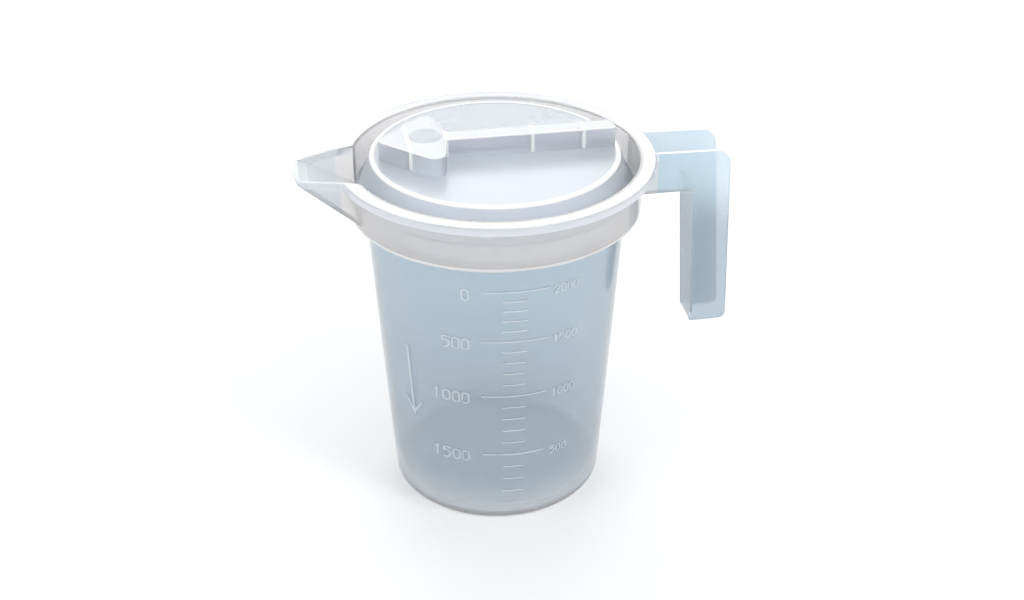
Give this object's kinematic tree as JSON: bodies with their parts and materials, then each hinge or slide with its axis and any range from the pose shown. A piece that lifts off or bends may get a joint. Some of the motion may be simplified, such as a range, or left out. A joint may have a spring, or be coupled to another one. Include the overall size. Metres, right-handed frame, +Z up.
{
  "type": "graduated jug with lid",
  "caption": "Translucent tapered plastic jug with a pouring spout, channel handle, raised volume marks and a drop-in lid with a pointer grip, for mixing and feeding milk.",
  "frame": {"origin": "centre of the flat underside that the jug stands on", "axes": "+Z up along the body's axis, +X towards the handle, -X towards the spout, -Y towards the graduations"},
  "size_m": [0.2454, 0.1758, 0.217],
  "materials": {
    "natural_plastic": "translucent natural polypropylene, satin",
    "natural_plastic_lid": "translucent natural polypropylene, satin"
  },
  "bodies": {
    "jug": {"jug": "natural_plastic"},
    "lid": {"lid": "natural_plastic_lid"}
  },
  "joints": [
    {"name": "lid_lift", "type": "slide", "parent": "jug", "child": "lid", "axis": [0, 0, 1], "range_m": [0, 0.12]}
  ]
}
